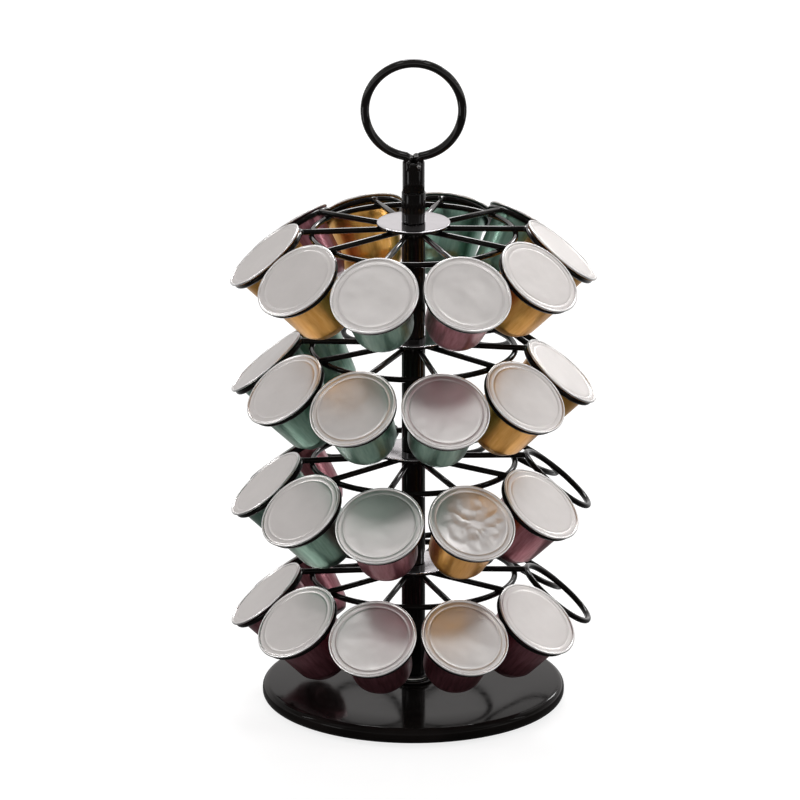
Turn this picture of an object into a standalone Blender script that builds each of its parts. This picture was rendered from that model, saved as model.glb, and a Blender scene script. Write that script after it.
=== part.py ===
"""Four-tier rotating wire carousel for coffee capsules.

Metres, +Z up, front towards -Y. The carousel stands on its feet at z = 0 with its axis on the Z axis.
A round base carries a fixed rod with a ring handle on top. Tubes, hub plates and welded wire tiers are
stacked on the rod and turn about it. Each tier holds ten tilted wire rings, and a capsule hangs in a ring
by its flange.
"""

import math

import bmesh
import bpy
from mathutils import Matrix, Vector

# Fits.
CLEARANCE = 0.0003
RUNNING_CLEARANCE = 0.0003
CUT_OVERRUN = 0.001

# Base plate and its feet.
BASE_RADIUS = 0.0622
BASE_THICKNESS = 0.0066
BASE_EDGE_RADIUS = 0.0028
BASE_EDGE_STEPS = 2
FOOT_STAND = 0.0015
FOOT_RADIUS = 0.005
FOOT_RECESS_DEPTH = 0.0012
FOOT_CHAMFER = 0.0006
FOOT_CIRCLE_RADIUS = 0.047
FOOT_COUNT = 4
FOOT_START_DEG = 45

# Fixed rod with the nuts that clamp it in the base.
ROD_RADIUS = 0.003
ROD_CHAMFER = 0.0005
BASE_NUT_RADIUS = 0.0058
BASE_NUT_THICKNESS = 0.0028
NUT_POCKET_RADIUS = 0.0072
ROD_STICK_OUT = 0.0005
FLANGE_NUT_RADIUS = 0.0083
FLANGE_NUT_THICKNESS = 0.0009
FLANGE_NUT_CHAMFER = 0.0003
WASHER_RADIUS = 0.0056
WASHER_THICKNESS = 0.0004

# Collar, tubes and hub plates, stacked on the rod.
COLLAR_RADIUS = 0.0066
COLLAR_THICKNESS = 0.0009
COLLAR_CHAMFER = 0.0003
TUBE_RADIUS = 0.00485
SPIGOT_RADIUS = 0.004
SPIGOT_LENGTH = 0.006
SLEEVE_RADIUS = 0.0051
SLEEVE_LENGTH = 0.0126
SLEEVE_CHAMFER = 0.0004
HUB_RADIUS = 0.015
HUB_THICKNESS = 0.0014
HUB_CHAMFER = 0.0005
BOTTOM_HUB_HEIGHT = 0.0593
TIER_SPACING = 0.0488
TIER_COUNT = 4

# Handle.
STEM_RADIUS = 0.00455
STEM_LENGTH = 0.0126
STEM_CHAMFER = 0.0004
STEM_POCKET_DEPTH = 0.005
STEM_WEB = 0.0015
HANDLE_WIRE_RADIUS = 0.0018
HANDLE_RING_RADIUS = 0.0198
HANDLE_BEND_RADIUS = 0.0019
HANDLE_LEG_RISE = 0.0002
STEM_POCKET_RADIUS = 0.00405

# Capsule: the origin is the middle of its lid.
CAPSULE_FLANGE_RADIUS = 0.0185
CAPSULE_FLANGE_THICKNESS = 0.001
CAPSULE_MOUTH_RADIUS = 0.0149
CAPSULE_SHOULDER_RADIUS = 0.0124
CAPSULE_SHOULDER_DEPTH = 0.023
CAPSULE_BOTTOM_RADIUS = 0.0096
CAPSULE_DEPTH = 0.0276

# Wire tier, measured from the middle of the hub plate's top face.
WIRE_RADIUS = 0.0012
WELD_DEPTH = 0.0006
RING_RADIUS = 0.017
LID_CIRCLE_RADIUS = 0.0612
TILT_DEG = 40
HOOP_RADIUS = 0.0416
SPOKE_START_GAP = 0.00035
SPOKE_FALL = 0.0009
SLOT_COUNT = 10
FIRST_SLOT_DEG = 18

# How far each tier is turned on the tubes, from the bottom tier up.
TIER_TURNS_DEG = (2.1, 4.9, -5.8, 2.9)

# What each slot holds, tier by tier from the bottom, counter-clockwise from the front right slot.
EMPTY = ""
TIER_LOADS = (
    ("maroon", "maroon", EMPTY, EMPTY, EMPTY, EMPTY, "maroon", "maroon", "maroon", "maroon"),
    ("gold", "maroon", EMPTY, EMPTY, EMPTY, EMPTY, "maroon", "green", "green", "maroon"),
    ("green", "gold", "gold", EMPTY, EMPTY, EMPTY, "green", "green", "green", "green"),
    ("maroon", "gold", "gold", "green", "green", "gold", "maroon", "gold", "gold", "green"),
)

# Facets.
BASE_SEGMENTS = 32
SMALL_SEGMENTS = 14
FOOT_SEGMENTS = 10
HUB_SEGMENTS = 16
CAPSULE_SEGMENTS = 12
RING_SEGMENTS = 12
HOOP_SEGMENTS = 20
HANDLE_SEGMENTS = 22
BEND_SEGMENTS = 4
WIRE_SIDES = 5
HANDLE_SIDES = 8
HEX_SIDES = 6
SMOOTH_ANGLE_DEG = 40

# Heights that follow from the stack.
BASE_BOTTOM = FOOT_STAND
BASE_TOP = BASE_BOTTOM + BASE_THICKNESS
BORE_RADIUS = ROD_RADIUS + RUNNING_CLEARANCE
SOCKET_RADIUS = SPIGOT_RADIUS + CLEARANCE
FLANGE_NUT_BOTTOM = BASE_TOP + CLEARANCE
WASHER_BOTTOM = FLANGE_NUT_BOTTOM + FLANGE_NUT_THICKNESS + CLEARANCE
COLLAR_BOTTOM = WASHER_BOTTOM + WASHER_THICKNESS + CLEARANCE
FIRST_TUBE_BOTTOM = COLLAR_BOTTOM + COLLAR_THICKNESS + CLEARANCE
TOP_HUB_HEIGHT = BOTTOM_HUB_HEIGHT + (TIER_COUNT - 1) * TIER_SPACING
SLEEVE_BOTTOM = TOP_HUB_HEIGHT + CLEARANCE
STEM_BOTTOM = SLEEVE_BOTTOM + SLEEVE_LENGTH + CLEARANCE
STEM_TOP = STEM_BOTTOM + STEM_LENGTH
POCKET_FLOOR = STEM_TOP - STEM_POCKET_DEPTH
ROD_TOP = POCKET_FLOOR - STEM_WEB - CLEARANCE
NUT_POCKET_DEPTH = BASE_NUT_THICKNESS + 2 * CLEARANCE + ROD_STICK_OUT

# Heights in a wire tier, below the hub plate's top face. A spoke ends in its ring's top.
TILT = math.radians(TILT_DEG)
RING_DROP = CAPSULE_FLANGE_THICKNESS + CLEARANCE + WIRE_RADIUS
SPOKE_DROP = HUB_THICKNESS + CLEARANCE + WIRE_RADIUS
RING_TOP_DROP = SPOKE_DROP + SPOKE_FALL
LID_DROP = RING_TOP_DROP + RING_RADIUS * math.sin(TILT) - RING_DROP * math.cos(TILT)


def black_and_other_materials():
    """Plain surface colours, by name."""
    looks = {
        "black_paint": ((0.012, 0.012, 0.013), 0.0, 0.12),
        "rubber": ((0.02, 0.02, 0.02), 0.0, 0.75),
        "zinc": ((0.62, 0.62, 0.64), 1.0, 0.35),
        "nylon": ((0.75, 0.74, 0.7), 0.0, 0.5),
        "bright_plate": ((0.78, 0.77, 0.8), 1.0, 0.12),
        "foil": ((0.75, 0.75, 0.74), 1.0, 0.38),
        "gold": ((0.8, 0.5, 0.15), 1.0, 0.3),
        "green": ((0.1, 0.28, 0.2), 1.0, 0.3),
        "maroon": ((0.25, 0.08, 0.12), 1.0, 0.3),
    }
    made = {}
    for name, (colour, metallic, roughness) in looks.items():
        material = bpy.data.materials.new(name)
        material.use_nodes = True
        shader = material.node_tree.nodes["Principled BSDF"]
        shader.inputs["Base Color"].default_value = (*colour, 1.0)
        shader.inputs["Metallic"].default_value = metallic
        shader.inputs["Roughness"].default_value = roughness
        made[name] = material
    return made


def finished_mesh(name, shape, materials):
    """A mesh from a bmesh, faces outward and shaded smooth across shallow edges."""
    bmesh.ops.recalc_face_normals(shape, faces=shape.faces)
    mesh = bpy.data.meshes.new(name)
    shape.to_mesh(mesh)
    shape.free()
    for material in materials:
        mesh.materials.append(material)
    shade(mesh)
    return mesh


def shade(mesh):
    mesh.shade_smooth()
    mesh.set_sharp_from_angle(angle=math.radians(SMOOTH_ANGLE_DEG))


def turned_mesh(name, profile, segments, materials, closed=False, top_material=0):
    """A profile of (radius, height) points turned about Z. An open profile starts and ends on the axis."""
    shape = bmesh.new()
    rings = []
    for radius, height in profile:
        if radius == 0:
            rings.append([shape.verts.new((0, 0, height))])
            continue
        ring = []
        for index in range(segments):
            angle = math.tau * index / segments
            ring.append(shape.verts.new((radius * math.cos(angle), radius * math.sin(angle), height)))
        rings.append(ring)
    pairs = list(zip(rings, rings[1:]))
    if closed:
        pairs.append((rings[-1], rings[0]))
    for place, (first, second) in enumerate(pairs):
        for index in range(segments):
            after = (index + 1) % segments
            corners = [first[index % len(first)], second[index % len(second)]]
            if len(second) > 1:
                corners.append(second[after])
            if len(first) > 1:
                corners.append(first[after])
            face = shape.faces.new(corners)
            if place == 0:
                face.material_index = top_material
    return finished_mesh(name, shape, materials)


def wire_mesh(name, path, across, radius, sides, materials, closed=False):
    """A round wire along a flat path. The vector across is square to the plane that the path lies in."""
    shape = bmesh.new()
    count = len(path)
    rings = []
    for index, point in enumerate(path):
        before = path[index - 1] if closed or index else point
        after = path[(index + 1) % count] if closed or index < count - 1 else point
        arriving = (point - before).normalized() if point != before else (after - point).normalized()
        leaving = (after - point).normalized() if point != after else arriving
        along = (arriving + leaving).normalized()
        mitre = 1 / along.dot(leaving)
        outward = along.cross(across).normalized() * mitre
        ring = []
        for side in range(sides):
            angle = math.tau * side / sides
            offset = (across * math.cos(angle) + outward * math.sin(angle)) * radius
            ring.append(shape.verts.new(point + offset))
        rings.append(ring)
    pairs = list(zip(rings, rings[1:]))
    if closed:
        pairs.append((rings[-1], rings[0]))
    else:
        shape.faces.new(rings[0])
        shape.faces.new(rings[-1])
    for first, second in pairs:
        for side in range(sides):
            after = (side + 1) % sides
            shape.faces.new((first[side], second[side], second[after], first[after]))
    return finished_mesh(name, shape, materials)


def placed(name, mesh, height=0.0, turn_deg=0.0):
    """An object on the axis at a height, turned about Z."""
    made = bpy.data.objects.new(name, mesh)
    bpy.context.scene.collection.objects.link(made)
    made.location.z = height
    made.rotation_euler.z = math.radians(turn_deg)
    return made


def hidden_collection(name, meshes):
    """Helper objects for a Boolean, which aren't pieces of the object."""
    group = bpy.data.collections.new(name)
    bpy.context.scene.collection.children.link(group)
    for index, mesh in enumerate(meshes):
        helper = bpy.data.objects.new(f"{name}_{index + 1}", mesh)
        helper.hide_render = True
        helper.display_type = "WIRE"
        group.objects.link(helper)
    return group


def combined_mesh(name, mesh, operation, others):
    """The mesh after one Boolean with a group of other meshes."""
    carrier = placed(name + "_carrier", mesh)
    group = hidden_collection(name + "_helpers", others)
    change = carrier.modifiers.new(operation.lower(), "BOOLEAN")
    change.operation = operation
    change.operand_type = "COLLECTION"
    change.collection = group
    change.solver = "EXACT"
    graph = bpy.context.evaluated_depsgraph_get()
    result = bpy.data.meshes.new_from_object(carrier.evaluated_get(graph))
    result.name = name
    shade(result)
    bpy.data.objects.remove(carrier)
    for helper in list(group.objects):
        bpy.data.objects.remove(helper)
    bpy.data.collections.remove(group)
    return result


def arc(centre, first, second, radius, start_deg, end_deg, steps):
    """Points on an arc about centre, in the plane of the unit vectors first and second."""
    points = []
    for step in range(steps + 1):
        angle = math.radians(start_deg + (end_deg - start_deg) * step / steps)
        points.append(centre + (first * math.cos(angle) + second * math.sin(angle)) * radius)
    return points


def rounded_edge(radius, height, edge, start_deg, end_deg, steps):
    """(radius, height) points of a rounded corner whose centre is at radius and height."""
    points = []
    for step in range(steps + 1):
        angle = math.radians(start_deg + (end_deg - start_deg) * step / steps)
        points.append((radius + edge * math.cos(angle), height + edge * math.sin(angle)))
    return points


def make_base(materials):
    """Round plate with a rounded rim, a nut pocket below and shallow recesses for the feet."""
    inner = BASE_RADIUS - BASE_EDGE_RADIUS
    pocket_top = BASE_BOTTOM + NUT_POCKET_DEPTH
    profile = [(BORE_RADIUS, BASE_TOP)]
    profile += rounded_edge(inner, BASE_TOP - BASE_EDGE_RADIUS, BASE_EDGE_RADIUS, 90, 0, BASE_EDGE_STEPS)
    profile += rounded_edge(inner, BASE_BOTTOM + BASE_EDGE_RADIUS, BASE_EDGE_RADIUS, 0, -90, BASE_EDGE_STEPS)
    profile += [
        (NUT_POCKET_RADIUS, BASE_BOTTOM),
        (NUT_POCKET_RADIUS, pocket_top),
        (BORE_RADIUS, pocket_top),
    ]
    plate = turned_mesh("base_plate", profile, BASE_SEGMENTS, [materials["black_paint"]], closed=True)
    recess_radius = FOOT_RADIUS + CLEARANCE
    recess_profile = [
        (0, BASE_BOTTOM + FOOT_RECESS_DEPTH),
        (recess_radius, BASE_BOTTOM + FOOT_RECESS_DEPTH),
        (recess_radius, BASE_BOTTOM - CUT_OVERRUN),
        (0, BASE_BOTTOM - CUT_OVERRUN),
    ]
    cutters = []
    for place in foot_places():
        cutter = turned_mesh("foot_recess", recess_profile, FOOT_SEGMENTS, [])
        cutter.transform(Matrix.Translation(place))
        cutters.append(cutter)
    placed("base_plate", combined_mesh("base_plate", plate, "DIFFERENCE", cutters))


def foot_places():
    places = []
    for index in range(FOOT_COUNT):
        angle = math.radians(FOOT_START_DEG) + math.tau * index / FOOT_COUNT
        places.append(Vector((math.cos(angle), math.sin(angle), 0)) * FOOT_CIRCLE_RADIUS)
    return places


def make_feet(materials):
    foot_top = BASE_BOTTOM + FOOT_RECESS_DEPTH - CLEARANCE
    profile = [
        (0, foot_top),
        (FOOT_RADIUS, foot_top),
        (FOOT_RADIUS, FOOT_CHAMFER),
        (FOOT_RADIUS - FOOT_CHAMFER, 0),
        (0, 0),
    ]
    mesh = turned_mesh("foot", profile, FOOT_SEGMENTS, [materials["rubber"]])
    for index, place in enumerate(foot_places()):
        foot = placed(f"foot_{index + 1}", mesh)
        foot.location = place


def make_rod_and_nuts(materials):
    """The rod is fixed in the base: a hexagon nut pulls it down and a flange nut stands against that."""
    nut_top = BASE_BOTTOM + NUT_POCKET_DEPTH - CLEARANCE
    nut_bottom = nut_top - BASE_NUT_THICKNESS
    rod_bottom = nut_bottom - ROD_STICK_OUT
    rod_profile = [
        (0, ROD_TOP),
        (ROD_RADIUS - ROD_CHAMFER, ROD_TOP),
        (ROD_RADIUS, ROD_TOP - ROD_CHAMFER),
        (ROD_RADIUS, rod_bottom),
        (0, rod_bottom),
    ]
    placed("spindle_rod", turned_mesh("spindle_rod", rod_profile, SMALL_SEGMENTS, [materials["zinc"]]))
    hexagon = turned_mesh(
        "hexagon",
        [(0, nut_top), (BASE_NUT_RADIUS, nut_top), (BASE_NUT_RADIUS, nut_bottom), (0, nut_bottom)],
        HEX_SIDES,
        [materials["zinc"]],
    )
    bore = turned_mesh(
        "nut_bore",
        [
            (0, nut_top + CUT_OVERRUN),
            (BORE_RADIUS, nut_top + CUT_OVERRUN),
            (BORE_RADIUS, nut_bottom - CUT_OVERRUN),
            (0, nut_bottom - CUT_OVERRUN),
        ],
        SMALL_SEGMENTS,
        [],
    )
    placed("base_nut", combined_mesh("base_nut", hexagon, "DIFFERENCE", [bore]))
    flange_profile = [
        (BORE_RADIUS, FLANGE_NUT_THICKNESS),
        (FLANGE_NUT_RADIUS - FLANGE_NUT_CHAMFER, FLANGE_NUT_THICKNESS),
        (FLANGE_NUT_RADIUS, FLANGE_NUT_THICKNESS - FLANGE_NUT_CHAMFER),
        (FLANGE_NUT_RADIUS, 0),
        (BORE_RADIUS, 0),
    ]
    flange_nut = turned_mesh(
        "flange_nut", flange_profile, HUB_SEGMENTS, [materials["black_paint"]], closed=True
    )
    placed("flange_nut", flange_nut, FLANGE_NUT_BOTTOM)
    washer_profile = [
        (BORE_RADIUS, WASHER_THICKNESS),
        (WASHER_RADIUS, WASHER_THICKNESS),
        (WASHER_RADIUS, 0),
        (BORE_RADIUS, 0),
    ]
    washer = turned_mesh("thrust_washer", washer_profile, SMALL_SEGMENTS, [materials["nylon"]], closed=True)
    placed("thrust_washer", washer, WASHER_BOTTOM)


def make_collar(materials):
    """Flanged bush that closes the lowest tube and rests on the washer."""
    profile = [
        (BORE_RADIUS, COLLAR_THICKNESS + SPIGOT_LENGTH),
        (SPIGOT_RADIUS, COLLAR_THICKNESS + SPIGOT_LENGTH),
        (SPIGOT_RADIUS, COLLAR_THICKNESS),
        (COLLAR_RADIUS - COLLAR_CHAMFER, COLLAR_THICKNESS),
        (COLLAR_RADIUS, COLLAR_THICKNESS - COLLAR_CHAMFER),
        (COLLAR_RADIUS, 0),
        (BORE_RADIUS, 0),
    ]
    collar = turned_mesh("foot_collar", profile, SMALL_SEGMENTS, [materials["black_paint"]], closed=True)
    placed("foot_collar", collar, COLLAR_BOTTOM)


def tube_profile(length):
    """A tube with a socket in its lower end and a spigot above its upper end. The height 0 is its lower end."""
    socket_depth = SPIGOT_LENGTH + 2 * CLEARANCE
    spigot_top = length + CLEARANCE + HUB_THICKNESS + SPIGOT_LENGTH
    return [
        (BORE_RADIUS, spigot_top),
        (SPIGOT_RADIUS, spigot_top),
        (SPIGOT_RADIUS, length),
        (TUBE_RADIUS, length),
        (TUBE_RADIUS, 0),
        (SOCKET_RADIUS, 0),
        (SOCKET_RADIUS, socket_depth),
        (BORE_RADIUS, socket_depth),
    ]


def make_tubes_and_hubs(materials):
    black = [materials["black_paint"]]
    under_hub = HUB_THICKNESS + CLEARANCE
    first_length = BOTTOM_HUB_HEIGHT - under_hub - FIRST_TUBE_BOTTOM
    next_length = TIER_SPACING - under_hub - CLEARANCE
    first = turned_mesh("first_tube", tube_profile(first_length), SMALL_SEGMENTS, black, closed=True)
    other = turned_mesh("tube", tube_profile(next_length), SMALL_SEGMENTS, black, closed=True)
    hub_profile = [
        (SOCKET_RADIUS, 0),
        (HUB_RADIUS - HUB_CHAMFER, 0),
        (HUB_RADIUS, -HUB_CHAMFER),
        (HUB_RADIUS, -HUB_THICKNESS),
        (SOCKET_RADIUS, -HUB_THICKNESS),
    ]
    hub = turned_mesh("hub_plate", hub_profile, HUB_SEGMENTS, [materials["bright_plate"]], closed=True)
    placed("post_tube_1", first, FIRST_TUBE_BOTTOM)
    for tier in range(TIER_COUNT):
        hub_height = BOTTOM_HUB_HEIGHT + tier * TIER_SPACING
        placed(f"hub_plate_{tier + 1}", hub, hub_height)
        if tier + 1 < TIER_COUNT:
            placed(f"post_tube_{tier + 2}", other, hub_height + CLEARANCE)
    socket_depth = SPIGOT_LENGTH + 2 * CLEARANCE
    sleeve_profile = [
        (BORE_RADIUS, SLEEVE_LENGTH),
        (SLEEVE_RADIUS - SLEEVE_CHAMFER, SLEEVE_LENGTH),
        (SLEEVE_RADIUS, SLEEVE_LENGTH - SLEEVE_CHAMFER),
        (SLEEVE_RADIUS, 0),
        (SOCKET_RADIUS, 0),
        (SOCKET_RADIUS, socket_depth),
        (BORE_RADIUS, socket_depth),
    ]
    sleeve = turned_mesh("top_sleeve", sleeve_profile, SMALL_SEGMENTS, black, closed=True)
    placed("top_sleeve", sleeve, SLEEVE_BOTTOM)


def make_handle(materials):
    """A stem on the rod's end and a wire ring whose two ends bend down into the stem."""
    black = [materials["black_paint"]]
    stem_profile = [
        (0, POCKET_FLOOR),
        (STEM_POCKET_RADIUS, POCKET_FLOOR),
        (STEM_POCKET_RADIUS, STEM_TOP),
        (STEM_RADIUS - STEM_CHAMFER, STEM_TOP),
        (STEM_RADIUS, STEM_TOP - STEM_CHAMFER),
        (STEM_RADIUS, STEM_BOTTOM),
        (BORE_RADIUS, STEM_BOTTOM),
        (BORE_RADIUS, POCKET_FLOOR - STEM_WEB),
        (0, POCKET_FLOOR - STEM_WEB),
    ]
    placed("handle_stem", turned_mesh("handle_stem", stem_profile, SMALL_SEGMENTS, black))
    right = Vector((1, 0, 0))
    up = Vector((0, 0, 1))
    leg_offset = HANDLE_WIRE_RADIUS + CLEARANCE / 2
    bend_offset = leg_offset + HANDLE_BEND_RADIUS
    bend_height = STEM_TOP + HANDLE_LEG_RISE
    rise = math.sqrt((HANDLE_RING_RADIUS + HANDLE_BEND_RADIUS) ** 2 - bend_offset**2)
    lean_deg = math.degrees(math.atan2(rise, bend_offset))
    ring_centre = up * (bend_height + rise)
    right_bend = right * bend_offset + up * bend_height
    left_bend = up * bend_height - right * bend_offset
    leg_bottom = up * (POCKET_FLOOR + CLEARANCE)
    path = [leg_bottom + right * leg_offset]
    path += arc(right_bend, right, up, HANDLE_BEND_RADIUS, 180, 180 - lean_deg, BEND_SEGMENTS)
    ring_arc = arc(ring_centre, right, up, HANDLE_RING_RADIUS, -lean_deg, 180 + lean_deg, HANDLE_SEGMENTS)
    path += ring_arc[1:]
    path += arc(left_bend, right, up, HANDLE_BEND_RADIUS, lean_deg, 0, BEND_SEGMENTS)[1:]
    path.append(leg_bottom - right * leg_offset)
    across = Vector((0, 1, 0))
    ring = wire_mesh("ring_handle", path, across, HANDLE_WIRE_RADIUS, HANDLE_SIDES, black)
    placed("ring_handle", ring)


def slot_directions():
    """The outward direction of each slot, counter-clockwise from the front right one."""
    directions = []
    for slot in range(SLOT_COUNT):
        angle = math.radians(FIRST_SLOT_DEG) + math.tau * slot / SLOT_COUNT
        directions.append(Vector((math.sin(angle), -math.cos(angle), 0)))
    return directions


def lid_normal(outward):
    return outward * math.sin(TILT) + Vector((0, 0, 1)) * math.cos(TILT)


def make_wire_tiers(materials):
    """Spokes that fall a little to ten tilted rings, with a hoop welded below them, as one frame a tier."""
    up = Vector((0, 0, 1))
    corner_radius = RING_RADIUS / math.cos(math.pi / RING_SEGMENTS)
    ring_top_radius = LID_CIRCLE_RADIUS - RING_DROP * math.sin(TILT) - RING_RADIUS * math.cos(TILT)
    spoke_start = TUBE_RADIUS + SPOKE_START_GAP
    spoke_end = ring_top_radius - WIRE_RADIUS + WELD_DEPTH
    hoop_share = (HOOP_RADIUS - spoke_start) / (spoke_end - spoke_start)
    hoop_drop = SPOKE_DROP + SPOKE_FALL * hoop_share + 2 * WIRE_RADIUS - WELD_DEPTH
    hoop_step_deg = 360 / HOOP_SEGMENTS
    hoop_path = arc(
        -up * hoop_drop,
        Vector((1, 0, 0)),
        Vector((0, 1, 0)),
        HOOP_RADIUS,
        hoop_step_deg / 2,
        360 + hoop_step_deg / 2,
        HOOP_SEGMENTS,
    )[:-1]
    hoop = wire_mesh("hoop", hoop_path, up, WIRE_RADIUS, WIRE_SIDES, [materials["black_paint"]], closed=True)
    others = []
    for outward in slot_directions():
        sideways = up.cross(outward)
        spoke_path = [outward * spoke_start - up * SPOKE_DROP, outward * spoke_end - up * RING_TOP_DROP]
        others.append(wire_mesh("spoke", spoke_path, sideways, WIRE_RADIUS, WIRE_SIDES, []))
        normal = lid_normal(outward)
        inward_up = normal.cross(sideways)
        if inward_up.z < 0:
            inward_up = -inward_up
        ring_centre = outward * LID_CIRCLE_RADIUS - up * LID_DROP - normal * RING_DROP
        ring_path = arc(ring_centre, inward_up, sideways, corner_radius, 0, 360, RING_SEGMENTS)[:-1]
        others.append(wire_mesh("ring", ring_path, normal, WIRE_RADIUS, WIRE_SIDES, [], closed=True))
    frame = combined_mesh("wire_tier", hoop, "UNION", others)
    for tier in range(TIER_COUNT):
        height = BOTTOM_HUB_HEIGHT + tier * TIER_SPACING
        placed(f"wire_tier_{tier + 1}", frame, height, TIER_TURNS_DEG[tier])


def make_capsules(materials):
    """Sealed cups with a foil lid on a flange, hanging in the rings by the flange."""
    profile = [
        (0, 0),
        (CAPSULE_FLANGE_RADIUS, 0),
        (CAPSULE_FLANGE_RADIUS, -CAPSULE_FLANGE_THICKNESS),
        (CAPSULE_MOUTH_RADIUS, -CAPSULE_FLANGE_THICKNESS),
        (CAPSULE_SHOULDER_RADIUS, -CAPSULE_SHOULDER_DEPTH),
        (CAPSULE_BOTTOM_RADIUS, -CAPSULE_DEPTH),
        (0, -CAPSULE_DEPTH),
    ]
    meshes = {}
    for colour in ("gold", "green", "maroon"):
        skins = [materials[colour], materials["foil"]]
        meshes[colour] = turned_mesh(colour, profile, CAPSULE_SEGMENTS, skins, top_material=1)
    for tier, loads in enumerate(TIER_LOADS):
        turn = Matrix.Rotation(math.radians(TIER_TURNS_DEG[tier]), 3, "Z")
        lid_height = BOTTOM_HUB_HEIGHT + tier * TIER_SPACING - LID_DROP
        for slot, outward in enumerate(slot_directions()):
            if loads[slot] == EMPTY:
                continue
            outward = turn @ outward
            capsule = placed(f"capsule_{tier + 1}_{slot + 1:02d}", meshes[loads[slot]])
            normal = lid_normal(outward)
            sideways = Vector((0, 0, 1)).cross(outward)
            axes = Matrix((normal.cross(sideways), -sideways, normal)).transposed()
            capsule.rotation_euler = axes.to_euler()
            capsule.location = outward * LID_CIRCLE_RADIUS + Vector((0, 0, lid_height))


def main():
    for old in list(bpy.data.objects):
        bpy.data.objects.remove(old)
    materials = black_and_other_materials()
    make_base(materials)
    make_feet(materials)
    make_rod_and_nuts(materials)
    make_collar(materials)
    make_tubes_and_hubs(materials)
    make_handle(materials)
    make_wire_tiers(materials)
    make_capsules(materials)


main()
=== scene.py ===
"""The looks of a four-tier wire carousel for coffee capsules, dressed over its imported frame.

Metres, +Z up, front towards -Y. The pieces ride on the frame's bodies and replace its plain solids, but for
the rod, the base nut and the washer, which keep theirs.
"""

import math
import random

import bmesh
import bpy
from mathutils import Matrix, Vector, noise


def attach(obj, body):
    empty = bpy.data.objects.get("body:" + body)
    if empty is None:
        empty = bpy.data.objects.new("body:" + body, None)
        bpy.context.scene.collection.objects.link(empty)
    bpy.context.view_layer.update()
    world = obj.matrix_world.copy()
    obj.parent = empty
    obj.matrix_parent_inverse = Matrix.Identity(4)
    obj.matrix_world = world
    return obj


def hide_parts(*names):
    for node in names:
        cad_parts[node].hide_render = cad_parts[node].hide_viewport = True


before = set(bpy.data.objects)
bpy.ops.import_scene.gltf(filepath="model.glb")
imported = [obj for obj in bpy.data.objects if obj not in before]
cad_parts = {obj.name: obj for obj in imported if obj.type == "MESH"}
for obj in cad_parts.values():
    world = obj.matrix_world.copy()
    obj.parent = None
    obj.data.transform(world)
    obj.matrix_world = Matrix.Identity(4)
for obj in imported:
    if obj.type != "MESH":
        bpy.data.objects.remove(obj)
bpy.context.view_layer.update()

# Sizes shared with the frame.
CLEARANCE = 0.0003
BASE_RADIUS, BASE_THICKNESS, BASE_EDGE = 0.0622, 0.0066, 0.0028
FOOT_COUNT, FOOT_RADIUS, FOOT_CIRCLE_RADIUS, FOOT_RECESS_DEPTH = 4, 0.005, 0.047, 0.0012
NUT_POCKET_RADIUS, NUT_POCKET_DEPTH = 0.0072, 0.0039
FLANGE_NUT_RADIUS, FLANGE_NUT_THICKNESS, WASHER_THICKNESS = 0.0083, 0.0009, 0.0004
COLLAR_RADIUS, COLLAR_THICKNESS, BORE_RADIUS = 0.0066, 0.0009, 0.0033
TIER_COUNT, BOTTOM_HUB_HEIGHT, TIER_SPACING = 4, 0.0593, 0.0488
HUB_RADIUS, HUB_THICKNESS = 0.015, 0.0014
TUBE_RADIUS, SPIGOT_RADIUS, SPIGOT_LENGTH = 0.00485, 0.004, 0.006
SOCKET_RADIUS, SOCKET_DEPTH = SPIGOT_RADIUS + CLEARANCE, SPIGOT_LENGTH + 2 * CLEARANCE
SLEEVE_LENGTH, STEM_RADIUS, STEM_LENGTH = 0.0126, 0.00455, 0.0126
STEM_POCKET_RADIUS, STEM_POCKET_DEPTH, STEM_WEB = 0.00405, 0.005, 0.0015
HANDLE_WIRE, HANDLE_RING, HANDLE_BEND, HANDLE_RISE = 0.0018, 0.0198, 0.0019, 0.0002
WIRE, WELD, RING_RADIUS, HOOP_RADIUS = 0.0012, 0.0006, 0.017, 0.0416
SPOKE_START, SPOKE_FALL = TUBE_RADIUS + 0.00035, 0.0009
FLANGE_THICKNESS, LID_CIRCLE_RADIUS, TILT = 0.001, 0.0612, math.radians(40)
SLOT_COUNT, FIRST_SLOT_DEG = 10, 18
RING_DROP = FLANGE_THICKNESS + CLEARANCE + WIRE
SPOKE_DROP = HUB_THICKNESS + CLEARANCE + WIRE
RING_TOP_DROP = SPOKE_DROP + SPOKE_FALL
RING_TOP_RADIUS = LID_CIRCLE_RADIUS - RING_DROP * math.sin(TILT) - RING_RADIUS * math.cos(TILT)
LID_DROP = RING_TOP_DROP + RING_RADIUS * math.sin(TILT) - RING_DROP * math.cos(TILT)
TIER_TURNS_DEG = (2.1, 4.9, -5.8, 2.9)
LOADS = (
    ("maroon", "maroon", "", "", "", "", "maroon", "maroon", "maroon", "maroon"),
    ("gold", "maroon", "", "", "", "", "maroon", "green", "green", "maroon"),
    ("green", "gold", "gold", "", "", "", "green", "green", "green", "green"),
    ("maroon", "gold", "gold", "green", "green", "gold", "maroon", "gold", "gold", "green"),
)
UP = Vector((0, 0, 1))

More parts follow.
